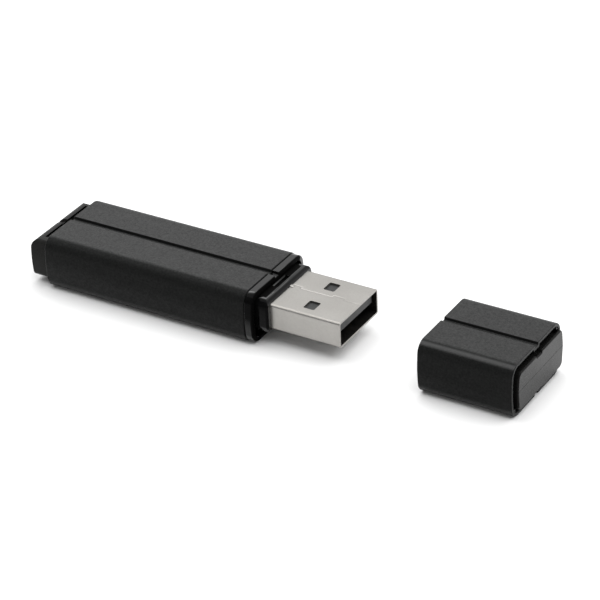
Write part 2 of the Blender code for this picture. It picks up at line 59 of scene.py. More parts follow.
# Zero of X for each body, and the sizes that the frame gives.
DRIVE_X = edge("body_sleeve", 1, "x")
CAP_X = edge("cap_sleeve", 0, "x")
SLEEVE_REAR = edge("body_sleeve", 0, "x") - DRIVE_X
TAIL_REAR = edge("tail_plug", 0, "x") - DRIVE_X
TAIL_FRONT = edge("tail_plug", 1, "x") - DRIVE_X
RING_FRONT = edge("front_bezel", 1, "x") - DRIVE_X
RING_REAR = edge("front_bezel", 0, "x") - DRIVE_X
NOSE_FRONT = edge("nose_block", 1, "x") - DRIVE_X
NOSE_REAR = edge("nose_block", 0, "x") - DRIVE_X
PLUG_TIP = edge("plug_shell", 1, "x") - DRIVE_X
PLUG_TOP = edge("plug_shell", 1, "z")
PLUG_WIDTH = edge("plug_shell", 1, "y") - edge("plug_shell", 0, "y")
TONGUE_FRONT = edge("plug_insulator", 1, "x") - DRIVE_X
TONGUE_TOP = edge("plug_insulator", 1, "z")
TONGUE_SIDE = edge("plug_insulator", 1, "y")
CAP_END = edge("cap_sleeve", 1, "x") - CAP_X
BOSS_END = edge("cap_insert_upper", 1, "x") - CAP_X
INSERT_FRONT = edge("cap_insert_upper", 0, "x") - CAP_X
SECTION_HEIGHT = edge("body_sleeve", 1, "z")
MID_Z = SECTION_HEIGHT / 2

# Cross-section of the sleeve and the cap, as in the CAD model. The width is that of its sharp corners.
SECTION_WIDTH = 16.8
CORNER_RADIUS = 2.1
FLANK_BOW = 0.35
FLANK_RADIUS = 20
GROOVE_HALF = 0.57
GROOVE_DEPTH = 0.45
GROOVE_DRAFT = 0.12
GROOVE_ROUND = 0.07
GROOVE_EASE = 0.05
GROOVE_WIDENING = 0.8
SLEEVE_WALL = 0.55
FIT_GAP = 0.06
HAIRLINE = 0.03

# The plug's shell, as in the CAD model.
PLUG_HEIGHT = 4.5
PLUG_WALL = 0.3
PLUG_CORNER = 0.45
PLUG_LENGTH = 18.75
PLUG_REAR = PLUG_TIP - PLUG_LENGTH
PLUG_MID_Z = PLUG_TOP - PLUG_HEIGHT / 2

# Reach of a cutting tool past the piece it cuts, and radii of corners that are to look sharp.
SPARE = 0.3
TRIM_SPARE = 0.01
SHARP = 0.01
TINY_ROUND = 0.02


def rounded(corners):
    """Points of a closed outline. A corner is (u, v, radius, number of steps round its arc)."""
    points = []
    for index, (u, v, radius, steps) in enumerate(corners):
        here = Vector((u, v))
        before = (Vector(corners[index - 1][:2]) - here).normalized()
        after = (Vector(corners[(index + 1) % len(corners)][:2]) - here).normalized()
        half_angle = before.angle(after) / 2
        turn = pi - 2 * half_angle
        centre = here + (before + after).normalized() * radius / sin(half_angle)
        arm = before * radius / tan(half_angle) + here - centre
        direction = 1 if before.cross(after) < 0 else -1
        for step in range(steps + 1):
            points.append(centre + Matrix.Rotation(direction * turn * step / steps, 2) @ arm)
    return points


def upper_half(side_inset, top_inset, corner, groove_half, groove_depth, flank=FLANK_RADIUS):
    """Corners of the section from its left flank over the top to its right shoulder."""
    side = SECTION_WIDTH / 2 - side_inset
    top = SECTION_HEIGHT - top_inset
    floor = top - groove_depth
    return [
        (side, MID_Z, flank, 6),
        (side - FLANK_BOW, top, corner, 12),
        (groove_half, top, GROOVE_ROUND, 4),
        (groove_half - GROOVE_DRAFT, floor, GROOVE_ROUND, 4),
        (GROOVE_DRAFT - groove_half, floor, GROOVE_ROUND, 4),
        (-groove_half, top, GROOVE_ROUND, 4),
        (FLANK_BOW - side, top, corner, 12),
    ]


def turned(half):
    """The same corners turned half a turn about the long axis."""
    return [(-y, SECTION_HEIGHT - z, radius, steps) for y, z, radius, steps in half]


def section(inset, groove_half, groove_depth=GROOVE_DEPTH):
    half = upper_half(inset, inset, CORNER_RADIUS - inset, groove_half, groove_depth)
    return half + turned(half)


def wall_section(inset):
    """The section moved inwards as a wall of even thickness has it."""
    return rounded(section(inset, GROOVE_HALF + GROOVE_WIDENING * inset))


def rectangle(width, height, centre_z, radius, steps=8):
    side, low, high = width / 2, centre_z - height / 2, centre_z + height / 2
    corners = ((side, low), (side, high), (-side, high), (-side, low))
    return rounded([(y, z, radius, steps) for y, z in corners])


def rod_path(rear, front, inset, rear_round, front_round, steps=6):
    """Path of a solid with rounded ends, as (x, inset) from its rear face to its front face."""
    turns = [radians(90) * step / steps for step in range(steps + 1)]
    path = [(rear + rear_round * (1 - cos(a)), inset + rear_round * (1 - sin(a))) for a in turns]
    path += [(front - front_round * (1 - sin(a)), inset + front_round * (1 - cos(a))) for a in turns]
    return path


def new_object(name, shape):
    """An object from a bmesh, which is freed."""
    mesh = bpy.data.meshes.new(name)
    shape.to_mesh(mesh)
    shape.free()
    obj = bpy.data.objects.new(name, mesh)
    bpy.context.scene.collection.objects.link(obj)
    return obj


def loft(name, origin, path, outline_at, closed):
    """Mesh through the outline at each (x, inset) of a path: a tube wall if closed, else a solid."""
    shape = bmesh.new()
    rows = []
    for x, inset in path:
        ring = [((origin + x) * MM, y * MM, z * MM) for y, z in outline_at(inset)]
        rows.append([shape.verts.new(point) for point in ring])
    following = rows[1:] + rows[:1] if closed else rows[1:]
    for row, after in zip(rows, following):
        for index in range(len(row)):
            shape.faces.new((row[index - 1], row[index], after[index], after[index - 1]))
    if not closed:
        shape.faces.new(reversed(rows[0]))
        shape.faces.new(rows[-1])
    bmesh.ops.recalc_face_normals(shape, faces=shape.faces)
    return new_object(name, shape)


def slab(name, origin, outline, y_low, y_high):
    """A straight bar along Y with the given outline of (x, z) points."""
    shape = bmesh.new()
    ends = []
    for y in (y_low, y_high):
        ends.append([shape.verts.new(((origin + x) * MM, y * MM, z * MM)) for x, z in outline])
    for index in range(len(outline)):
        shape.faces.new((ends[0][index - 1], ends[0][index], ends[1][index], ends[1][index - 1]))
    shape.faces.new(ends[0])
    shape.faces.new(ends[1])
    bmesh.ops.recalc_face_normals(shape, faces=shape.faces)
    return new_object(name, shape)


def box_outline(x_low, x_high, z_low, z_high):
    return [(x_low, z_low), (x_high, z_low), (x_high, z_high), (x_low, z_high)]


def trim_to_profile(obj, *corners):
    """Keeps what lies inside a side view, given as (x, z, radius) corners."""
    outline = rounded([(*corner, 14) for corner in corners])
    combine(obj, slab("profile", DRIVE_X, outline, -SECTION_WIDTH, SECTION_WIDTH), "INTERSECT")


def apply_modifiers(obj):
    graph = bpy.context.evaluated_depsgraph_get()
    mesh = bpy.data.meshes.new_from_object(obj.evaluated_get(graph))
    obj.modifiers.clear()
    obj.data = mesh


def combine(obj, tool, operation):
    """Applies a Boolean with a tool object, which is then removed."""
    boolean = obj.modifiers.new("combine", "BOOLEAN")
    boolean.operation = operation
    boolean.solver = "EXACT"
    boolean.object = tool
    bpy.context.view_layer.update()
    apply_modifiers(obj)
    bpy.data.objects.remove(tool)


def cut(obj, tool):
    combine(obj, tool, "DIFFERENCE")


def join(obj, tool):
    combine(obj, tool, "UNION")


def soften(obj, width, segments=2, angle=50):
    """Rounds the sharp edges."""
    bevel = obj.modifiers.new("soften", "BEVEL")
    bevel.width = width * MM
    bevel.segments = segments
    bevel.limit_method = "ANGLE"
    bevel.angle_limit = radians(angle)
    bevel.use_clamp_overlap = True
    apply_modifiers(obj)


def smooth(obj, angle=35):
    """Shades curved stretches smoothly and keeps flat faces flat."""
    obj.data.shade_smooth()
    obj.data.set_sharp_from_angle(angle=radians(angle))
    weighted = obj.modifiers.new("flat_faces", "WEIGHTED_NORMAL")
    weighted.keep_sharp = True
    weighted.weight = 100


def show(obj, material, body, slot, *nodes):
    """Finishes a piece: its shading, material and body, and the CAD nodes that it stands for."""
    smooth(obj)
    if material:
        obj.data.materials.clear()
        obj.data.materials.append(material)
    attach(obj, body)
    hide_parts(*nodes)


# ---------------------------------------------------------------- materials


def add(tree, kind, inputs=None, **settings):
    """A node whose inputs are values or the sockets that feed them."""
    node = tree.nodes.new(kind)
    for name, value in settings.items():
        setattr(node, name, value)
    for name, value in (inputs or {}).items():
        if isinstance(value, bpy.types.NodeSocket):
            tree.links.new(value, node.inputs[name])
        else:
            node.inputs[name].default_value = value
    return node


def millimetres(tree, stretch=(1, 1, 1)):
    """Object coordinates in millimetres, squeezed along an axis where a pattern is to be drawn out."""
    place = add(tree, "ShaderNodeTexCoord")
    scale = tuple(value / MM for value in stretch)
    return add(tree, "ShaderNodeMapping", {"Vector": place.outputs["Object"], "Scale": scale}).outputs[0]


def noise(tree, vector, per_mm, detail=3, roughness=0.55):
    inputs = {"Vector": vector, "Scale": per_mm, "Detail": detail, "Roughness": roughness}
    return add(tree, "ShaderNodeTexNoise", inputs).outputs["Fac"]


def spread(tree, value, low, high, start=0.3, end=0.7):
    """Maps a noise value onto low to high."""
    inputs = {"Value": value, "From Min": start, "From Max": end, "To Min": low, "To Max": high}
    return add(tree, "ShaderNodeMapRange", inputs).outputs["Result"]


def calculate(tree, operation, first, second):
    return add(tree, "ShaderNodeMath", {0: first, 1: second}, operation=operation).outputs[0]


def blend(tree, factor, first, second):
    """Colour between two colours."""
    node = add(tree, "ShaderNodeMix", {"Factor": factor}, data_type="RGBA")
    for socket, value in ((node.inputs[6], first), (node.inputs[7], second)):
        if isinstance(value, bpy.types.NodeSocket):
            tree.links.new(value, socket)
        else:
            socket.default_value = (*value, 1)
    return node.outputs[2]


def bump(tree, height, depth, under=None):
    """Normal from a height of 0 to 1 that stands for a depth in millimetres."""
    inputs = {"Height": height, "Distance": depth * MM, "Strength": 1.0}
    if under is not None:
        inputs["Normal"] = under
    return add(tree, "ShaderNodeBump", inputs).outputs["Normal"]


def facing(tree):
    """0 where a surface is seen straight on and 1 where it is seen edge on."""
    return add(tree, "ShaderNodeLayerWeight", {"Blend": 0.5}).outputs["Facing"]


def upward_tilt(tree):
    """Height of the surface's normal: 1 on level faces and 0 on upright ones."""
    normal = add(tree, "ShaderNodeTexCoord").outputs["Normal"]
    return add(tree, "ShaderNodeSeparateXYZ", {"Vector": normal}).outputs["Z"]


def sheen(tree, shader, straight, grazing, full_at=0.50):
    """Lets the gloss of a dark surface grow towards grazing views."""
    level = spread(tree, facing(tree), straight, grazing, 0.28, full_at)
    tree.links.new(level, shader.inputs["Specular IOR Level"])
    return level


def new_material(name, metallic=0.0, specular=0.5):
    """(material, its node tree, its shader)."""
    material = bpy.data.materials.new(name)
    material.use_nodes = True
    shader = material.node_tree.nodes["Principled BSDF"]
    shader.inputs["Metallic"].default_value = metallic
    shader.inputs["Specular IOR Level"].default_value = specular
    return material, material.node_tree, shader


def dress(tree, shader, colour, roughness, normal):
    tree.links.new(colour, shader.inputs["Base Color"])
    tree.links.new(roughness, shader.inputs["Roughness"])
    tree.links.new(normal, shader.inputs["Normal"])


def coated_metal(name, edge_polish):
    """Black coating over fine blasted metal: a close grain, a dry sheen and edges polished by handling."""
    material, tree, shader = new_material(name)
    place = millimetres(tree)
    grain = noise(tree, place, 3.2, 3, 0.75)
    speckle = noise(tree, place, 6.0, 2, 0.6)
    cloud = noise(tree, place, 0.20, 3)
    level = calculate(tree, "MULTIPLY", sheen(tree, shader, 0.06, 0.29), spread(tree, grain, 0.55, 1.45))
    tilt = upward_tilt(tree)
    level = calculate(tree, "MULTIPLY", level, spread(tree, tilt, 0.70, 1, 0.97, 0.998))
    rising, falling = spread(tree, tilt, 0, 1, 0.70, 0.82), spread(tree, tilt, 1, 0, 0.90, 0.97)
    edge_line = calculate(tree, "MULTIPLY", rising, falling)
    level = calculate(tree, "ADD", level, calculate(tree, "MULTIPLY", edge_line, edge_polish))
    tree.links.new(level, shader.inputs["Specular IOR Level"])
    tone = blend(tree, spread(tree, grain, 0, 1), (0.0062, 0.0064, 0.0063), (0.0115, 0.0119, 0.0116))
    colour = blend(tree, spread(tree, speckle, 0, 0.5), tone, (0.0078, 0.0081, 0.0080))
    rough = calculate(tree, "ADD", spread(tree, cloud, 0.36, 0.42), spread(tree, speckle, -0.05, 0.05))
    fine = bump(tree, speckle, 0.012)
    dress(tree, shader, colour, rough, bump(tree, grain, 0.028, fine))
    return material


def satin_plastic(name, grazing, tint, roughest):
    """Moulded black plastic with a fine spark-eroded texture."""
    material, tree, shader = new_material(name)
    sheen(tree, shader, 0.04, grazing)
    place = millimetres(tree)
    grain = noise(tree, place, 4.5, 3, 0.65)
    cloud = noise(tree, place, 0.35, 3)
    darker, paler = (tint, tint, 0.96 * tint), (2 * tint, 2 * tint, 1.92 * tint)
    colour = blend(tree, spread(tree, grain, 0, 1), darker, paler)
    worn = spread(tree, cloud, roughest - 0.08, roughest)
    rough = calculate(tree, "ADD", worn, spread(tree, grain, -0.03, 0.03))
    dress(tree, shader, colour, rough, bump(tree, grain, 0.010))
    return material


def gloss_plastic():
    """Polished black moulding with a slight waviness and light smears."""
    material, tree, shader = new_material("gloss_plastic")
    sheen(tree, shader, 0.03, 0.70, full_at=0.42)
    place = millimetres(tree)
    wave = noise(tree, place, 0.7, 2)
    smear = noise(tree, millimetres(tree, (0.5, 1.6, 1.6)), 0.9, 5, 0.65)
    dust = noise(tree, place, 6.0, 2, 0.5)
    colour = blend(tree, spread(tree, smear, 0, 1), (0.0015, 0.0015, 0.0016), (0.0035, 0.0036, 0.0036))
    rough = calculate(tree, "ADD", spread(tree, smear, 0.03, 0.06), spread(tree, dust, 0, 0.04, 0.6, 0.75))
    dress(tree, shader, colour, rough, bump(tree, wave, 0.010))
    return material


def painted_recess_shade():
    """Painted shade: near-black, barely reflecting plastic for the ring's front face and the recess between
    the ring and the nose, which lie in shade.
    """
    material, tree, shader = new_material("painted_recess_shade", specular=0.02)
    place = millimetres(tree)
    grain = noise(tree, place, 5.0, 3)
    colour = blend(tree, spread(tree, grain, 0, 1), (0.0008, 0.0008, 0.0008), (0.0024, 0.0024, 0.0023))
    dress(tree, shader, colour, spread(tree, grain, 0.5, 0.6), bump(tree, grain, 0.006))
    return material


def plated_steel():
    """Nickel-plated strip: a warm satin with fine rolling lines and small pits; the bends beside the top
    are darkened with painted shade that tones down their highlight.
    """
    material, tree, shader = new_material("plated_steel", metallic=1.0)
    place = millimetres(tree)
    lines = noise(tree, millimetres(tree, (0.06, 1, 1)), 9.0, 4, 0.7)
    mottle = noise(tree, place, 2.6, 4, 0.65)
    cloud = noise(tree, place, 0.16, 2)
    pits = spread(tree, noise(tree, place, 5.0, 2, 0.5), 0, 1, 0.66, 0.74)
    tone = blend(tree, spread(tree, cloud, 0, 1), (0.335, 0.324, 0.306), (0.375, 0.364, 0.346))
    tone = blend(tree, spread(tree, mottle, 0, 0.30), tone, (0.29, 0.28, 0.264))
    tone = blend(tree, calculate(tree, "MULTIPLY", pits, 0.2), tone, (0.16, 0.152, 0.14))
    # Painted shade: the colour is darkened on the bends beside the top, to tone down the highlight that the
    # light puts there.
    tilt = upward_tilt(tree)
    across = add(tree, "ShaderNodeSeparateXYZ", {"Vector": place}).outputs["Y"]
    at_side = spread(tree, calculate(tree, "ABSOLUTE", across, 0), 0, 1, TOP_HALF - 0.1, TOP_HALF)
    rising, falling = spread(tree, tilt, 0, 1, 0.6, 0.9), spread(tree, tilt, 0.55, 0, 0.97, 1.0)
    painted_fold_shade = calculate(tree, "MULTIPLY", calculate(tree, "MULTIPLY", falling, rising), at_side)
    colour = blend(tree, painted_fold_shade, tone, (0.16, 0.152, 0.14))
    rough = calculate(tree, "ADD", spread(tree, mottle, 0.34, 0.41), spread(tree, lines, -0.03, 0.03))
    normal = bump(tree, lines, 0.003)
    dress(tree, shader, colour, rough, bump(tree, mottle, 0.004, normal))
    return material


def shell_inside_shade():
    """Inside of the shell: steel coloured almost black as painted shade, with blotchy variation."""
    material, tree, shader = new_material("shell_inside_shade", metallic=1.0)
    stain = noise(tree, millimetres(tree, (0.4, 1, 1)), 1.2, 4, 0.65)
    grain = noise(tree, millimetres(tree), 6.0, 3)
    colour = blend(tree, spread(tree, stain, 0, 1), (0.022, 0.021, 0.020), (0.040, 0.038, 0.036))
    rough = calculate(tree, "ADD", spread(tree, stain, 0.45, 0.6), spread(tree, grain, -0.05, 0.05))
    dress(tree, shader, colour, rough, bump(tree, grain, 0.006))
    return material


def tongue_plastic():
    """Filled black plastic of the tongue, paler and drier than the outer mouldings."""
    material, tree, shader = new_material("tongue_plastic")
    sheen(tree, shader, 0.08, 0.45)
    place = millimetres(tree)
    grain = noise(tree, place, 5.0, 4, 0.65)
    flow = noise(tree, millimetres(tree, (0.3, 1, 1)), 1.4, 3)
    colour = blend(tree, spread(tree, flow, 0, 1), (0.008, 0.0084, 0.0088), (0.016, 0.0164, 0.017))
    rough = calculate(tree, "ADD", spread(tree, flow, 0.42, 0.52), spread(tree, grain, -0.04, 0.04))
    dress(tree, shader, colour, rough, bump(tree, grain, 0.008))
    return material


def contact_gold():
    """Hard gold over nickel, with fine drawing lines and a worn, paler wiping track."""
    material, tree, shader = new_material("contact_gold", metallic=1.0)
    lines = noise(tree, millimetres(tree, (0.05, 1, 1)), 12.0, 4, 0.7)
    worn = noise(tree, millimetres(tree, (0.25, 1.5, 1.5)), 1.0, 3)
    colour = blend(tree, spread(tree, worn, 0, 1), (0.80, 0.56, 0.20), (0.86, 0.70, 0.40))
    rough = calculate(tree, "ADD", spread(tree, worn, 0.20, 0.32), spread(tree, lines, -0.04, 0.04))
    dress(tree, shader, colour, rough, bump(tree, lines, 0.003))
    return material


def solder_mask():
    """Green board: copper tracks that show faintly under the mask, and the glass weave."""
    material, tree, shader = new_material("solder_mask", specular=0.5)
    place = millimetres(tree)
    tracks = add(
        tree, "ShaderNodeTexBrick",
        {"Vector": place, "Color1": (1, 1, 1, 1), "Color2": (0.8, 0.8, 0.8, 1), "Mortar": (0, 0, 0, 1),
         "Scale": 1.0, "Mortar Size": 0.16, "Brick Width": 3.1, "Row Height": 0.55},
    ).outputs["Color"]
    weave = noise(tree, place, 3.0, 3)
    track_tone = blend(tree, spread(tree, weave, 0, 1), (0.010, 0.085, 0.034), (0.014, 0.105, 0.042))
    colour = blend(tree, tracks, track_tone, (0.020, 0.150, 0.060))
    rough = spread(tree, weave, 0.28, 0.38)
    normal = bump(tree, tracks, 0.02)
    dress(tree, shader, colour, rough, bump(tree, weave, 0.006, normal))
    return material


def moulding_compound():
    """Matt black package of a chip."""
    material, tree, shader = new_material("moulding_compound", specular=0.35)
    place = millimetres(tree)
    grain = noise(tree, place, 8.0, 4, 0.7)
    cloud = noise(tree, place, 0.8, 2)
    colour = blend(tree, spread(tree, cloud, 0, 1), (0.016, 0.016, 0.017), (0.026, 0.026, 0.027))
    rough = calculate(tree, "ADD", spread(tree, cloud, 0.55, 0.62), spread(tree, grain, -0.05, 0.05))
    dress(tree, shader, colour, rough, bump(tree, grain, 0.008))
    return material


def drawn_can():
    """Drawn metal can of the crystal, with lines from the die and stains."""
    material, tree, shader = new_material("drawn_can", metallic=1.0)
    lines = noise(tree, millimetres(tree, (1, 0.08, 1)), 8.0, 4, 0.7)
    stain = noise(tree, millimetres(tree), 0.9, 3)
    colour = blend(tree, spread(tree, stain, 0, 1), (0.58, 0.57, 0.54), (0.68, 0.66, 0.63))
    rough = calculate(tree, "ADD", spread(tree, stain, 0.22, 0.34), spread(tree, lines, -0.04, 0.04))
    dress(tree, shader, colour, rough, bump(tree, lines, 0.004))
    return material


def fired_ceramic():
    """Tan ceramic body with tinned ends, by distance along Y from the part's middle."""
    material, tree, shader = new_material("fired_ceramic", specular=0.4)
    place = add(tree, "ShaderNodeTexCoord").outputs["Generated"]
    along = add(tree, "ShaderNodeSeparateXYZ", {"Vector": place}).outputs["Y"]
    off_middle = calculate(tree, "ABSOLUTE", calculate(tree, "SUBTRACT", along, 0.5), 0)
    tinned = spread(tree, off_middle, 0, 1, 0.27, 0.29)
    grain = noise(tree, millimetres(tree), 9.0, 4, 0.7)
    body = blend(tree, spread(tree, grain, 0, 1), (0.36, 0.27, 0.18), (0.48, 0.37, 0.26))
    colour = blend(tree, tinned, body, (0.60, 0.60, 0.58))
    rough = calculate(tree, "ADD", spread(tree, tinned, 0.5, 0.32, 0, 1), spread(tree, grain, -0.05, 0.05))
    tree.links.new(tinned, shader.inputs["Metallic"])
    dress(tree, shader, colour, rough, bump(tree, grain, 0.01))
    return material


def core_plastic():
    """Plain dark moulding of the hidden shells, with flow marks."""
    material, tree, shader = new_material("core_plastic", specular=0.4)
    flow = noise(tree, millimetres(tree, (0.25, 1, 1)), 0.8, 4)
    grain = noise(tree, millimetres(tree), 5.0, 3)
    colour = blend(tree, spread(tree, flow, 0, 1), (0.045, 0.045, 0.046), (0.066, 0.066, 0.068))
    rough = calculate(tree, "ADD", spread(tree, flow, 0.48, 0.58), spread(tree, grain, -0.04, 0.04))
    dress(tree, shader, colour, rough, bump(tree, grain, 0.01))
    return material


# ---------------------------------------------------------------- pieces of the drive

EDGE_ROUND = 0.14
BOSS_INSET = SLEEVE_WALL + FIT_GAP


def make_sleeve(name, origin, rear, front, material, body):
    """The grooved sleeve of the drive or of the cap: a tube wall with rounded edges."""
    wall = [
        (rear, 0, EDGE_ROUND, 5),
        (front, 0, EDGE_ROUND, 5),
        (front, SLEEVE_WALL, EDGE_ROUND / 2, 3),
        (rear, SLEEVE_WALL, EDGE_ROUND / 2, 3),
    ]
    sleeve = loft(f"{name}_shell", origin, rounded(wall), wall_section, closed=True)
    show(sleeve, material, body, "anodised", name)


TAIL_INSET = 0.97
TAIL_ROUND = 0.4
TAIL_TOP_ROUND = 1.9
TAIL_OVERLAP = 0.2
TAIL_BOSS_ROUND = 0.1
SLIT_REACH = 1.5
SLIT_UNDERCUT = 2.2
SLIT_DEPTH = 1.0
SLIT_HALF = 5.75
SLIT_LIP = 0.05
SLIT_ROUND = 0.05


def tail_section(inset):
    return rounded(section(inset, GROOVE_HALF + GROOVE_EASE))


def cut_tail_groove(tail):
    """Carries the upper groove on over the rounded rear edge."""
    rear = TAIL_REAR + GROOVE_DEPTH
    top = SECTION_HEIGHT - TAIL_INSET - GROOVE_DEPTH
    kept = rounded([
        (rear, -SPARE, SHARP, 1), (SPARE, -SPARE, SHARP, 1),
        (SPARE, top, SHARP, 1), (rear, top, TAIL_TOP_ROUND - GROOVE_DEPTH, 14),
    ])
    around = box_outline(TAIL_REAR - SPARE, SLEEVE_REAR, MID_Z + SPARE, SECTION_HEIGHT)
    channel = slab("channel", DRIVE_X, around, -GROOVE_HALF, GROOVE_HALF)
    cut(channel, slab("kept", DRIVE_X, kept, -2 * GROOVE_HALF, 2 * GROOVE_HALF))
    cut(tail, channel)


def make_tail(material):
    """Moulded end behind the sleeve: rounded at the rear, with an undercut slit above and below."""
    path = rod_path(TAIL_REAR, SLEEVE_REAR + TAIL_OVERLAP, TAIL_INSET, TINY_ROUND, TINY_ROUND, 2)
    tail = loft("tail_end", DRIVE_X, path, tail_section, closed=False)
    top = SECTION_HEIGHT - TAIL_INSET + TRIM_SPARE
    trim_to_profile(
        tail, (TAIL_REAR, -SPARE, SHARP), (0, -SPARE, SHARP),
        (0, top, SHARP), (TAIL_REAR, top, TAIL_TOP_ROUND),
    )
    soften(tail, TAIL_ROUND, 5)
    cut_tail_groove(tail)
    boss_rear = SLEEVE_REAR + TAIL_OVERLAP / 2
    boss_path = rod_path(boss_rear, TAIL_FRONT, BOSS_INSET, TINY_ROUND, TAIL_BOSS_ROUND)
    join(tail, loft("tail_boss", DRIVE_X, boss_path, wall_section, closed=False))
    above = SECTION_HEIGHT + SPARE
    floor = SECTION_HEIGHT - TAIL_INSET - SLIT_DEPTH
    upper = [
        (SLEEVE_REAR, above),
        (SLEEVE_REAR - SLIT_REACH, above),
        (SLEEVE_REAR - SLIT_REACH, SECTION_HEIGHT - TAIL_INSET - SLIT_LIP),
        (SLEEVE_REAR - SLIT_UNDERCUT, floor),
        (SLEEVE_REAR, floor),
    ]
    lower = [(x, SECTION_HEIGHT - z) for x, z in upper]
    for level, outline in (("upper", upper), ("lower", lower)):
        cut(tail, slab(f"slit_{level}", DRIVE_X, outline, -SLIT_HALF, SLIT_HALF))
    soften(tail, SLIT_ROUND)
    show(tail, material, "drive", "satin_black", "tail_plug")


RING_INSET = 0.1
RING_WALL = 0.85
RING_SEAM = 0.09
RING_LEAN = 0.12
RING_GROOVE_WIDENING = 0.65
RING_REAR_ROUND = 0.1
RING_FRONT_ROUND = 0.22
RING_MOUTH_ROUND = 0.08
SPIGOT_ROUND = 0.05
FACING_FORWARD = 0.7
FACING_UP = 0.999


def ring_section(inset):
    """The ring's groove is wider inside, as its wall has it."""
    widening = RING_GROOVE_WIDENING * (inset - RING_INSET)
    return rounded(section(inset, GROOVE_HALF + GROOVE_EASE + widening))


def paint_shade_on_faces(obj, material, is_shaded):
    """Gives a second material, the black painted shade, to the faces that a test picks by centre and
    normal.
    """
    obj.data.materials.append(material)
    for face in obj.data.polygons:
        if is_shaded(face.center / MM - Vector((DRIVE_X, 0, 0)), face.normal):
            face.material_index = 1


def make_ring(material, shade_black):
    """Glossy ring in front of the sleeve, with a spigot inside the sleeve."""
    inside = RING_INSET + RING_WALL
    path = [
        (RING_SEAM, RING_INSET, RING_REAR_ROUND, 4),
        (RING_FRONT - RING_LEAN, RING_INSET, RING_FRONT_ROUND, 10),
        (RING_FRONT, inside, RING_MOUTH_ROUND, 4),
        (RING_REAR, inside, SPIGOT_ROUND, 3),
        (RING_REAR, BOSS_INSET, SPIGOT_ROUND, 3),
        (RING_SEAM, BOSS_INSET, SPIGOT_ROUND, 2),
    ]
    ring = loft("front_ring", DRIVE_X, rounded(path), ring_section, closed=True)
    show(ring, material, "drive", "gloss_black", "front_bezel")
    far_side = NOSE_WIDTH / 2
    # The ring's forward-facing front faces get the black painted shade, standing in for the shade there.
    paint_shade_on_faces(
        ring, shade_black,
        lambda centre, normal: centre.x > 0 and centre.y < far_side and normal.x > FACING_FORWARD,
    )


NOSE_WIDTH = 13.9
NOSE_HEIGHT = 6.1
NOSE_CORNER = 1.5
NOSE_ROUND = 0.4
NOSE_SHOULDER = 1.2
NOSE_EDGE_ROUND = 0.09
NOSE_OVERLAP = 0.1
NOSE_TOP = PLUG_MID_Z + NOSE_HEIGHT / 2
NOSE_SLOT_X = (1.78, 2.62)
NOSE_SLOT_HALF = 1.92
NOSE_SLOT_DEPTH = 0.5
NOSE_SLOT_CHAMFER = 0.16
RELIEF_DEPTH = 0.4
RELIEF_REACH = 0.04
RELIEF_HALF = GROOVE_HALF + 0.7


def nose_outline(inset):
    return rectangle(NOSE_WIDTH - 2 * inset, NOSE_HEIGHT - 2 * inset, PLUG_MID_Z, NOSE_CORNER - inset, 10)


def plug_outline(gap):
    return rectangle(PLUG_WIDTH + 2 * gap, PLUG_HEIGHT + 2 * gap, PLUG_MID_Z, PLUG_CORNER + gap)


def make_nose(material, shade_black):
    """Glossy block that the plug comes out of, on a flange inside the sleeve."""
    path = rod_path(NOSE_REAR + NOSE_OVERLAP, NOSE_FRONT, 0, TINY_ROUND, NOSE_ROUND, 10)
    nose = loft("nose", DRIVE_X, path, nose_outline, closed=False)
    top, bottom = NOSE_TOP + TRIM_SPARE, 2 * PLUG_MID_Z - NOSE_TOP - TRIM_SPARE
    trim_to_profile(
        nose, (2 * NOSE_REAR, bottom, SHARP), (NOSE_FRONT, bottom, NOSE_SHOULDER),
        (NOSE_FRONT, top, NOSE_SHOULDER), (2 * NOSE_REAR, top, SHARP),
    )
    flange_path = rod_path(NOSE_REAR, RING_REAR - FIT_GAP, BOSS_INSET, TINY_ROUND, TINY_ROUND)
    join(nose, loft("flange", DRIVE_X, flange_path, wall_section, closed=False))
    tunnel_path = [(NOSE_REAR - SPARE, HAIRLINE), (NOSE_FRONT + SPARE, HAIRLINE)]
    cut(nose, loft("tunnel", DRIVE_X, tunnel_path, plug_outline, closed=False))
    slot_rear, slot_front = NOSE_SLOT_X
    slot_floor, slot_lip = NOSE_TOP - NOSE_SLOT_DEPTH, slot_rear - NOSE_SLOT_CHAMFER
    slot = [
        (slot_rear, slot_floor), (slot_front, slot_floor), (slot_front, NOSE_TOP + SPARE),
        (slot_lip, NOSE_TOP + SPARE), (slot_lip, NOSE_TOP + TRIM_SPARE),
        (slot_rear, NOSE_TOP - NOSE_SLOT_CHAMFER),
    ]
    cut(nose, slab("slot", DRIVE_X, slot, -NOSE_SLOT_HALF, NOSE_SLOT_HALF))
    relief_front, relief_floor = RING_FRONT + RELIEF_REACH, NOSE_TOP - RELIEF_DEPTH
    relief = box_outline(RING_REAR - FIT_GAP, relief_front, relief_floor, NOSE_TOP + SPARE)
    cut(nose, slab("relief", DRIVE_X, relief, -RELIEF_HALF, RELIEF_HALF))
    soften(nose, NOSE_EDGE_ROUND, 3)
    show(nose, material, "drive", "gloss_black", "nose_block")
    shoulder = NOSE_FRONT - NOSE_SHOULDER
    # The nose's level top behind the shoulder gets the black painted shade, standing in for the ring's
    # shade on it.
    paint_shade_on_faces(nose, shade_black, lambda centre, normal: 0 < centre.x < shoulder and normal.z > FACING_UP)


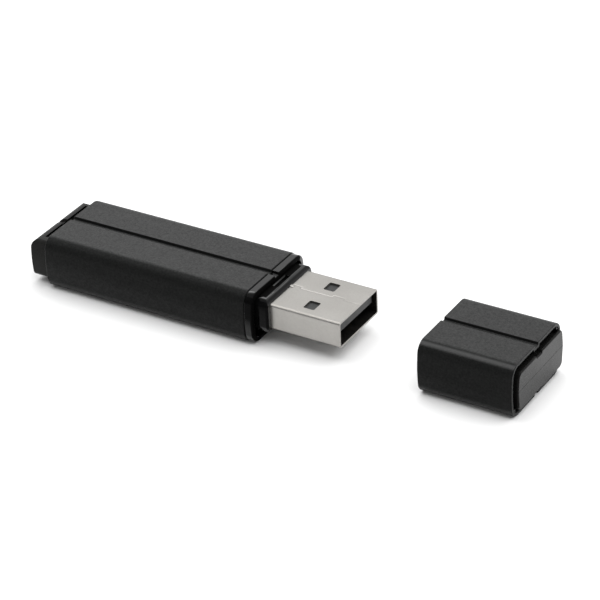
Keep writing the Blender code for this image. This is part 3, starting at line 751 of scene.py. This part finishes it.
# Plug shell: a strip cut to its flat pattern and folded, so that its seam and windows are real gaps.
TOP_HALF = PLUG_WIDTH / 2 - PLUG_CORNER
SIDE_HALF = PLUG_HEIGHT / 2 - PLUG_CORNER
BEND = PLUG_CORNER * pi / 2
ROUND_TRIP = 4 * (TOP_HALF + SIDE_HALF + BEND)
BEND_STEPS = 6
SEAM_GAP = 0.03
SEAM_CHAMFER = 0.16
SEAM_CHAMFER_DROP = 0.055
SEAM_HIGH, SEAM_LOW = 1.02, 0.50
SEAM_MIDDLE = (SEAM_HIGH + SEAM_LOW) / 2
SEAM_REACH = 0.5
NEARLY = 0.01
TAB_HALF = 0.35
TAB_REAR = NOSE_FRONT - 0.4
TAB_FLOOR = PLUG_TOP - 0.05
TAB_ROUND = 0.06
TAB_EDGE_ROUND = 0.05
TAB_SIDE_VIEW = (
    (TAB_REAR, TAB_FLOOR, TINY_ROUND, 2), (NOSE_FRONT + 0.5, TAB_FLOOR, TINY_ROUND, 2),
    (NOSE_FRONT + 0.42, PLUG_TOP + 0.1, TAB_ROUND, 4), (TAB_REAR, PLUG_TOP + 0.16, TAB_ROUND, 4),
)
SEAM_STEPS = ((5.3, SEAM_HIGH, SEAM_LOW), (11.1, SEAM_LOW, SEAM_HIGH), (13.2, SEAM_HIGH, SEAM_LOW))
WINDOW_REAR = 8.57
WINDOW_LENGTH = 1.98
WINDOW_WIDTH = 2.33
WINDOW_SIDE = 3.1
WINDOW_CORNER = 0.28


def fold(travel):
    """(y, z) of the shell's outside at a distance along the strip, from the middle of the top."""
    top, side = 2 * TOP_HALF, 2 * SIDE_HALF
    stretches = (TOP_HALF, BEND, side, BEND, top, BEND, side, BEND, TOP_HALF)
    y, z, heading = 0.0, PLUG_TOP, pi
    for index, length in enumerate(stretches):
        is_last = index == len(stretches) - 1
        part = travel if is_last else min(travel, length)
        if index % 2:
            turn = part / PLUG_CORNER
            y += PLUG_CORNER * (sin(heading + turn) - sin(heading))
            z += PLUG_CORNER * (cos(heading) - cos(heading + turn))
            heading += turn
        else:
            y += part * cos(heading)
            z += part * sin(heading)
        travel -= part
        if travel <= 0 and part < length:
            break
    return y, z


def seam_line(offset):
    """Points of the jogged seam, as (x, distance along the strip)."""
    points = [(PLUG_REAR, offset - SEAM_STEPS[0][1])]
    for x, before, after in SEAM_STEPS:
        points += [(x, offset - before), (x, offset - after)]
    points.append((PLUG_TIP, offset - SEAM_STEPS[-1][2]))
    return points


def window_outline(middle):
    front, near, far = WINDOW_REAR + WINDOW_LENGTH, middle - WINDOW_WIDTH / 2, middle + WINDOW_WIDTH / 2
    corners = ((WINDOW_REAR, near), (front, near), (front, far), (WINDOW_REAR, far))
    return rounded([(x, s, WINDOW_CORNER, 5) for x, s in corners])


def add_loop(shape, points):
    verts = [shape.verts.new((x, s, 0)) for x, s in points]
    return [shape.edges.new((verts[index - 1], verts[index])) for index in range(len(verts))]


def bisect_bends(shape):
    """Cuts the flat strip across wherever it is to bend."""
    bend_starts = [TOP_HALF, TOP_HALF + BEND + 2 * SIDE_HALF]
    bend_starts += [ROUND_TRIP / 2 + value for value in bend_starts]
    for bend_start in bend_starts:
        for step in range(BEND_STEPS + 1):
            geometry = shape.verts[:] + shape.edges[:] + shape.faces[:]
            place = (0, bend_start + BEND * step / BEND_STEPS, 0)
            bmesh.ops.bisect_plane(shape, geom=geometry, plane_co=place, plane_no=(0, 1, 0), dist=1e-5)


def chamfer_seam(shell):
    """Breaks the seam's upper edges at a shallow slope, so that they catch the light."""
    shape = bmesh.new()
    shape.from_mesh(shell.data)
    lips = []
    for edge_line in shape.edges:
        on_top = all(abs(vert.co.z / MM - PLUG_TOP) < NEARLY for vert in edge_line.verts)
        at_seam = all(abs(vert.co.y / MM - SEAM_MIDDLE) < SEAM_REACH for vert in edge_line.verts)
        if on_top and at_seam and edge_line.calc_face_angle(0) > radians(60):
            lips.append(edge_line)
    bmesh.ops.bevel(shape, geom=lips, offset=SEAM_CHAMFER * MM, segments=1, profile=0.5, affect="EDGES")
    for vert in shape.verts:
        at_seam = abs(vert.co.y / MM - SEAM_MIDDLE) < SEAM_REACH
        if at_seam and abs(vert.co.z / MM - (PLUG_TOP - SEAM_CHAMFER)) < NEARLY:
            vert.co.z = (PLUG_TOP - SEAM_CHAMFER_DROP) * MM
    shape.to_mesh(shell.data)
    shape.free()


def make_plug_shell(material, inside):
    """Folded steel shell with two windows above and two below and a jogged seam along its top."""
    half_round = ROUND_TRIP / 2
    start = seam_line(SEAM_GAP / 2)
    end = seam_line(ROUND_TRIP - SEAM_GAP / 2)
    shape = bmesh.new()
    edges = add_loop(shape, start + end[::-1])
    for fold_line in (0, half_round):
        edges += add_loop(shape, window_outline(fold_line + WINDOW_SIDE))
        edges += add_loop(shape, window_outline(fold_line + half_round - WINDOW_SIDE))
    bmesh.ops.triangle_fill(shape, edges=edges, use_beauty=True, use_dissolve=False)
    bmesh.ops.dissolve_limit(
        shape, angle_limit=0.001, verts=shape.verts[:], edges=shape.edges[:], delimit={"NORMAL"},
    )
    bisect_bends(shape)
    for vert in shape.verts:
        y, z = fold(vert.co.y)
        vert.co = ((DRIVE_X + vert.co.x) * MM, y * MM, z * MM)
    shape.normal_update()
    axis = Vector((0, 0, PLUG_MID_Z)) * MM
    for face in shape.faces:
        outwards = (face.calc_center_median() - axis) * Vector((0, 1, 1))
        if face.normal.dot(outwards) < 0:
            face.normal_flip()
    shell = new_object("plug_shell_folded", shape)
    thick = shell.modifiers.new("sheet", "SOLIDIFY")
    thick.thickness = PLUG_WALL * MM
    thick.offset = -1
    # The inner faces take the second material, steel coloured almost black as painted shade.
    thick.material_offset = 1
    shell.data.materials.append(material)
    shell.data.materials.append(inside)
    apply_modifiers(shell)
    chamfer_seam(shell)
    show(shell, None, "drive", "plated_steel", "plug_shell")
    tab = slab("seam_tab", DRIVE_X, rounded(TAB_SIDE_VIEW), SEAM_LOW - TAB_HALF, SEAM_LOW + TAB_HALF)
    soften(tab, TAB_EDGE_ROUND)
    show(tab, material, "drive", "plated_steel", "plug_shell")


TONGUE_CORNER = 0.6
TONGUE_THICKNESS = 1.9
TONGUE_BLOCK_FRONT = NOSE_FRONT + 0.8
TONGUE_EDGE_ROUND = 0.06
CONTACT_DIP = 0.1
CONTACT_DIP_LENGTH = 0.45
CONTACT_EDGE_ROUND = 0.04
CONTACTS = ("contact_power", "contact_data_minus", "contact_data_plus", "contact_ground")


def round_front_corners(obj, radius):
    """Rounds the upright edges at the +X end."""
    shape = bmesh.new()
    shape.from_mesh(obj.data)
    front = max(vert.co.x for vert in shape.verts)
    at_front = [edge for edge in shape.edges if all(abs(vert.co.x - front) < 1e-7 for vert in edge.verts)]
    upright = [edge for edge in at_front if abs(edge.verts[0].co.z - edge.verts[1].co.z) > 1e-5]
    bmesh.ops.bevel(shape, geom=upright, offset=radius * MM, segments=8, profile=0.5, affect="EDGES")
    shape.to_mesh(obj.data)
    shape.free()


def make_tongue(material):
    """Tongue that carries the contacts, on a rear block that fills the shell."""
    box_low = edge("plug_insulator", 0, "z")
    rear = edge("plug_insulator", 0, "x") - DRIVE_X
    tongue_low = TONGUE_TOP - TONGUE_THICKNESS
    outline = [
        (rear, box_low), (TONGUE_BLOCK_FRONT, box_low), (TONGUE_BLOCK_FRONT, tongue_low),
        (TONGUE_FRONT, tongue_low), (TONGUE_FRONT, TONGUE_TOP), (rear, TONGUE_TOP),
    ]
    tongue = slab("tongue", DRIVE_X, outline, -TONGUE_SIDE, TONGUE_SIDE)
    round_front_corners(tongue, TONGUE_CORNER)
    for node in CONTACTS:
        low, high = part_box(node)
        z_low, z_high = low.z / MM - HAIRLINE, high.z / MM + 0.4 * HAIRLINE
        channel = box_outline(rear - SPARE, TONGUE_BLOCK_FRONT + SPARE, z_low, z_high)
        cut(tongue, slab("channel", DRIVE_X, channel, low.y / MM - HAIRLINE, high.y / MM + HAIRLINE))
    soften(tongue, TONGUE_EDGE_ROUND)
    show(tongue, material, "drive", "insulator", "plug_insulator")


def make_contact(node, material):
    """A gold strip whose front end dips in towards the tongue."""
    low, high = (Vector(corner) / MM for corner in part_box(node))
    rear, front = low.x - DRIVE_X, high.x - DRIVE_X
    outline = [
        (rear, low.z), (front - CONTACT_DIP_LENGTH, low.z), (front, low.z + CONTACT_DIP),
        (front, high.z), (rear, high.z),
    ]
    strip = slab(f"{node}_strip", DRIVE_X, outline, low.y, high.y)
    soften(strip, CONTACT_EDGE_ROUND, angle=15)
    show(strip, material, "drive", "contact_gold", node)


# ---------------------------------------------------------------- pieces of the cap

BOSS_SIDE_INSET = 1.3
BOSS_TOP_INSET = 1.55
BOSS_BOTTOM_INSET = 1.05
BOSS_CORNER = 1.0
BOSS_FLANK = 8
BOSS_GROOVE_HALF = GROOVE_HALF + 0.45
BOSS_UPPER_GROOVE = GROOVE_DEPTH - 0.1
BOSS_LOWER_GROOVE = 0.15
BOSS_EDGE_ROUND = 0.05
PLATE_REACH = 1.2
PLATE_START = CAP_END + HAIRLINE
PLATE_ROUND = 0.28
PLATE_OVERLAP = 0.1
INSERT_MOUTH_ROUND = 0.08
INSERT_REAR_ROUND = 0.03
INSERT_EDGE_ROUND = 0.04
END_GAP_DEPTH = 1.25
WEB_SETBACK = 0.1
WEB_Y = 6.9
WEB_HEIGHT = 1.45
WEB_CLEARANCE = 0.02
WEB_ROUND = 0.06
SOCKET_WIDTH = 12.5
SOCKET_HEIGHT = 5.0
SOCKET_DEPTH = 14.7
PARTING_GAP = 0.05


def boss_section(inset):
    """The boss stands further from the sleeve above than below."""
    halves = []
    for face_inset, groove in ((BOSS_TOP_INSET, BOSS_UPPER_GROOVE), (BOSS_BOTTOM_INSET, BOSS_LOWER_GROOVE)):
        halves.append(upper_half(
            BOSS_SIDE_INSET + inset, face_inset + inset, BOSS_CORNER - inset,
            BOSS_GROOVE_HALF, groove, BOSS_FLANK,
        ))
    return rounded(halves[0] + turned(halves[1]))


def plate_section(inset):
    """The boss's outer face reaches over the sleeve's rim on the +Y side."""
    far_side = SECTION_WIDTH / 4
    points = boss_section(inset)
    return [Vector((y + PLATE_REACH, z)) if y > far_side else Vector((y, z)) for y, z in points]


def socket_outline(gap):
    return rectangle(SOCKET_WIDTH + 2 * gap, SOCKET_HEIGHT + 2 * gap, PLUG_MID_Z, PLUG_CORNER + gap)


def make_web(start, upper):
    """Bridges the gap round the boss in one corner."""
    inset = BOSS_INSET + WEB_CLEARANCE
    path = rod_path(start, CAP_END - WEB_SETBACK, inset, TINY_ROUND, WEB_ROUND, 3)
    web = loft("web", CAP_X, path, wall_section, closed=False)
    top = SECTION_HEIGHT + SPARE
    z_low, z_high = (SECTION_HEIGHT - WEB_HEIGHT, top) if upper else (-SPARE, WEB_HEIGHT)
    y_low, y_high = (WEB_Y, SECTION_WIDTH) if upper else (-SECTION_WIDTH, -WEB_Y)
    outline = box_outline(start - SPARE, CAP_END + SPARE, z_low, z_high)
    combine(web, slab("corner", CAP_X, outline, y_low, y_high), "INTERSECT")
    return web


def make_insert_half(node, upper, material):
    """Half of the block inside the cap: the plug's socket in front, and the boss at the closed end."""
    rear_face = CAP_END - END_GAP_DEPTH
    path = rod_path(INSERT_FRONT, rear_face, BOSS_INSET, INSERT_MOUTH_ROUND, INSERT_REAR_ROUND, 3)
    half = loft(f"{node}_half", CAP_X, path, wall_section, closed=False)
    boss_front = PLATE_START + PLATE_OVERLAP
    boss_path = rod_path(rear_face - 2 * SPARE, boss_front, 0, TINY_ROUND, BOSS_EDGE_ROUND, 3)
    join(half, loft("boss", CAP_X, boss_path, boss_section, closed=False))
    plate_path = rod_path(PLATE_START, BOSS_END, 0, TINY_ROUND, PLATE_ROUND, 8)
    join(half, loft("plate", CAP_X, plate_path, plate_section, closed=False))
    join(half, make_web(rear_face - SPARE, upper))
    socket_path = [(INSERT_FRONT - SPARE, 0), (SOCKET_DEPTH, 0)]
    cut(half, loft("socket", CAP_X, socket_path, socket_outline, closed=False))
    below, above = (-SPARE, MID_Z + PARTING_GAP / 2), (MID_Z - PARTING_GAP / 2, SECTION_HEIGHT + SPARE)
    z_low, z_high = below if upper else above
    waste = box_outline(INSERT_FRONT - SPARE, BOSS_END + SPARE, z_low, z_high)
    cut(half, slab("waste", CAP_X, waste, -SECTION_WIDTH, SECTION_WIDTH))
    soften(half, INSERT_EDGE_ROUND)
    show(half, material, "cap", "satin_black", node)


# ---------------------------------------------------------------- assembly


def make_object():
    satin = satin_plastic("cap_plastic", grazing=0.25, tint=0.0035, roughest=0.30)
    gloss = gloss_plastic()
    drive_coating = coated_metal("body_coating", edge_polish=0.0)
    make_sleeve("body_sleeve", DRIVE_X, SLEEVE_REAR, 0, drive_coating, "drive")
    make_tail(satin_plastic("tail_plastic", grazing=0.13, tint=0.0095, roughest=0.50))
    shade_black = painted_recess_shade()
    make_ring(gloss, shade_black)
    make_nose(gloss, shade_black)
    make_plug_shell(plated_steel(), shell_inside_shade())
    make_tongue(tongue_plastic())
    gold = contact_gold()
    for node in CONTACTS:
        make_contact(node, gold)
    cap_coating = coated_metal("cap_coating", edge_polish=0.30)
    make_sleeve("cap_sleeve", CAP_X, 0, CAP_END, cap_coating, "cap")
    make_insert_half("cap_insert_upper", upper=True, material=satin)
    make_insert_half("cap_insert_lower", upper=False, material=satin)


def dress_hidden_nodes():
    """Materials for the CAD nodes inside the sleeve, whose shape is right as it is."""
    finishes = (
        (core_plastic(), ("core_upper_shell", "core_lower_shell")),
        (solder_mask(), ("circuit_board",)),
        (moulding_compound(), ("controller_chip", "flash_memory_chip", "resistor_1", "resistor_2")),
        (drawn_can(), ("crystal",)),
        (fired_ceramic(), ("capacitor_1", "capacitor_2", "capacitor_3", "capacitor_4")),
    )
    for material, nodes in finishes:
        for node in nodes:
            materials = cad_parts[node].data.materials
            materials.clear()
            materials.append(material)


# ---------------------------------------------------------------- camera, floor and light

CAMERA_AZIMUTH = radians(32.249)
CAMERA_ELEVATION = radians(31.211)
CAMERA_ROLL = radians(-2.713)
CAMERA_DISTANCE = 0.426537
CAMERA_LENS = 160.53
SENSOR_WIDTH = 36
AIM = Vector((DRIVE_X + 4.051, 2.153, 3.85)) * MM
FLOOR_HALF = 1.5
SOFTBOX_PLACE = (0, 0.12, 0.90)
SOFTBOX_SIZE = (2.2, 1.3)
SOFTBOX_POWER = 20.0
WORLD_BEHIND = 0.90
WORLD_FRONT = 0.42
WORLD_TURN = (-0.25, 0.45)


def make_camera():
    back = Vector((
        sin(CAMERA_AZIMUTH) * cos(CAMERA_ELEVATION),
        -cos(CAMERA_AZIMUTH) * cos(CAMERA_ELEVATION),
        sin(CAMERA_ELEVATION),
    ))
    level_right = Vector((0, 0, 1)).cross(back).normalized()
    level_up = back.cross(level_right)
    right = level_right * cos(CAMERA_ROLL) + level_up * sin(CAMERA_ROLL)
    up = level_up * cos(CAMERA_ROLL) - level_right * sin(CAMERA_ROLL)
    lens = bpy.data.cameras.new("camera")
    lens.lens = CAMERA_LENS
    lens.sensor_width = SENSOR_WIDTH
    lens.clip_start = 0.01
    camera = bpy.data.objects.new("camera", lens)
    camera.matrix_world = Matrix((right, up, back)).transposed().to_4x4()
    camera.matrix_world.translation = AIM + back * CAMERA_DISTANCE
    bpy.context.scene.collection.objects.link(camera)
    bpy.context.scene.camera = camera


def make_floor():
    """A wide pale sheet, faintly uneven."""
    shape = bmesh.new()
    bmesh.ops.create_grid(shape, x_segments=8, y_segments=8, size=FLOOR_HALF)
    floor = new_object("floor", shape)
    material, tree, shader = new_material("floor_paper", specular=0.1)
    fibre = noise(tree, millimetres(tree), 0.5, 3)
    dress(
        tree, shader,
        blend(tree, fibre, (0.80, 0.80, 0.80), (0.82, 0.82, 0.82)),
        spread(tree, fibre, 0.9, 0.95),
        bump(tree, fibre, 0.001),
    )
    floor.data.materials.append(material)


def make_softbox():
    """One wide light overhead, a little behind the object, that faces it."""
    light = bpy.data.lights.new("overhead_softbox", "AREA")
    light.shape = "RECTANGLE"
    light.size, light.size_y = SOFTBOX_SIZE
    light.energy = SOFTBOX_POWER
    softbox = bpy.data.objects.new("overhead_softbox", light)
    softbox.location = SOFTBOX_PLACE
    softbox.rotation_euler = (-Vector(SOFTBOX_PLACE)).to_track_quat("-Z", "Y").to_euler()
    bpy.context.scene.collection.objects.link(softbox)


def make_world():
    """A room that is bright behind the object and dark on the side of the camera."""
    world = bpy.data.worlds.new("studio")
    bpy.context.scene.world = world
    world.use_nodes = True
    tree = world.node_tree
    direction = add(tree, "ShaderNodeTexCoord").outputs["Generated"]
    behind = add(tree, "ShaderNodeSeparateXYZ", {"Vector": direction}).outputs["Y"]
    strength = spread(tree, behind, WORLD_FRONT, WORLD_BEHIND, *WORLD_TURN)
    tree.links.new(strength, tree.nodes["Background"].inputs["Strength"])
    tree.nodes["Background"].inputs["Color"].default_value = (1, 1, 1, 1)


make_object()
dress_hidden_nodes()
make_camera()
make_floor()
make_world()
make_softbox()
bpy.context.scene.view_settings.view_transform = "Standard"
